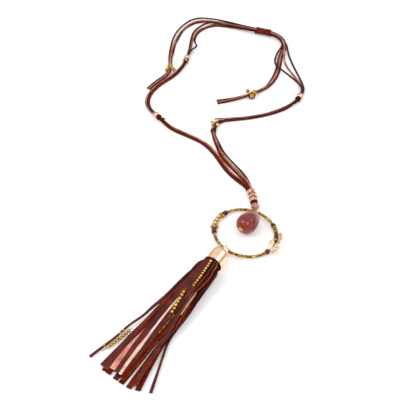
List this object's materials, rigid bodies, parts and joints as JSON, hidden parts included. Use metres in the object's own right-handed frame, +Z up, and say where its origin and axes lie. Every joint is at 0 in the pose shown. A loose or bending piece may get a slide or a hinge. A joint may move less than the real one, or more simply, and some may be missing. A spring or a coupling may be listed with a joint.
{
  "type": "tassel necklace",
  "caption": "Necklace of narrow leather laces with a sliding knot, a bead stack, an oval beaded hoop around a stone drop, and a capped tassel of cut leather strips, lying flat.",
  "frame": {"origin": "middle of the oval hoop, level with the surface that the necklace lies on", "axes": "+Y from the hoop up to the sliding knot, +X to the right, +Z up out of the surface"},
  "size_m": [0.1429, 0.3665, 0.0141],
  "materials": {
    "burgundy_leather": "satin, tan cut edges",
    "russet_suede": "matt suede",
    "rose_foil_leather": "metallic rose foil",
    "rose_gold": "polished rose gold plate",
    "gold": "polished gold plate",
    "antique_brass": "worn satin brass",
    "burgundy_glass": "glossy opaque glass",
    "pink_glass": "matt opaque glass",
    "red_stone": "polished veined stone",
    "pearl": "nacre lustre",
    "clear_glass": "clear cut glass",
    "thread": "twisted metallic thread"
  },
  "bodies": {
    "root": {"burgundy_bead_1": "burgundy_glass", "burgundy_bead_2": "burgundy_glass", "burgundy_bead_3": "burgundy_glass", "burgundy_bead_4": "burgundy_glass", "burgundy_bead_5": "burgundy_glass", "cap_bail": "rose_gold", "clear_stones": "clear_glass", "drop_flower": "gold", "drop_pin": "gold", "filigree_link": "antique_brass", "hoop_wire": "antique_brass", "lace_knot_1": "burgundy_leather", "lace_knot_2": "burgundy_leather", "lace_knot_3": "burgundy_leather", "lace_knot_4": "burgundy_leather", "lace_left_dark": "burgundy_leather", "lace_left_rose": "rose_foil_leather", "lace_left_russet": "russet_suede", "lace_right_dark": "burgundy_leather", "lace_right_rose": "rose_foil_leather", "lace_right_russet": "russet_suede", "left_tail_bead": "gold", "left_tie_beads": "gold", "left_tie_thread": "thread", "pearl_wire": "gold", "pearls": "pearl", "pink_bead": "pink_glass", "right_tail_bead": "gold", "right_tie_beads": "gold", "right_tie_thread": "thread", "rose_bead_1": "rose_gold", "rose_bead_2": "rose_gold", "rose_bead_3": "rose_gold", "rose_bead_4": "rose_gold", "second_beads": "gold", "second_thread": "thread", "side_gold_bead": "gold", "side_pearl": "pearl", "slider_knot": "russet_suede", "small_gold_bead": "gold", "spacer_discs": "gold", "stack_knot": "burgundy_leather", "stack_pin": "gold", "stack_ring_1": "rose_gold", "stack_ring_2": "rose_gold", "stack_ring_3": "rose_gold", "stone_drop": "red_stone", "strand_beads": "gold", "strand_thread": "thread", "tassel_cap": "rose_gold", "tassel_skirt": "burgundy_leather", "top_loop": "gold", "tube_bottom": "antique_brass", "tube_left": "antique_brass", "tube_lower": "antique_brass", "tube_right": "antique_brass", "tube_top": "antique_brass", "upper_beads": "gold", "upper_thread": "thread"}
  },
  "joints": []
}
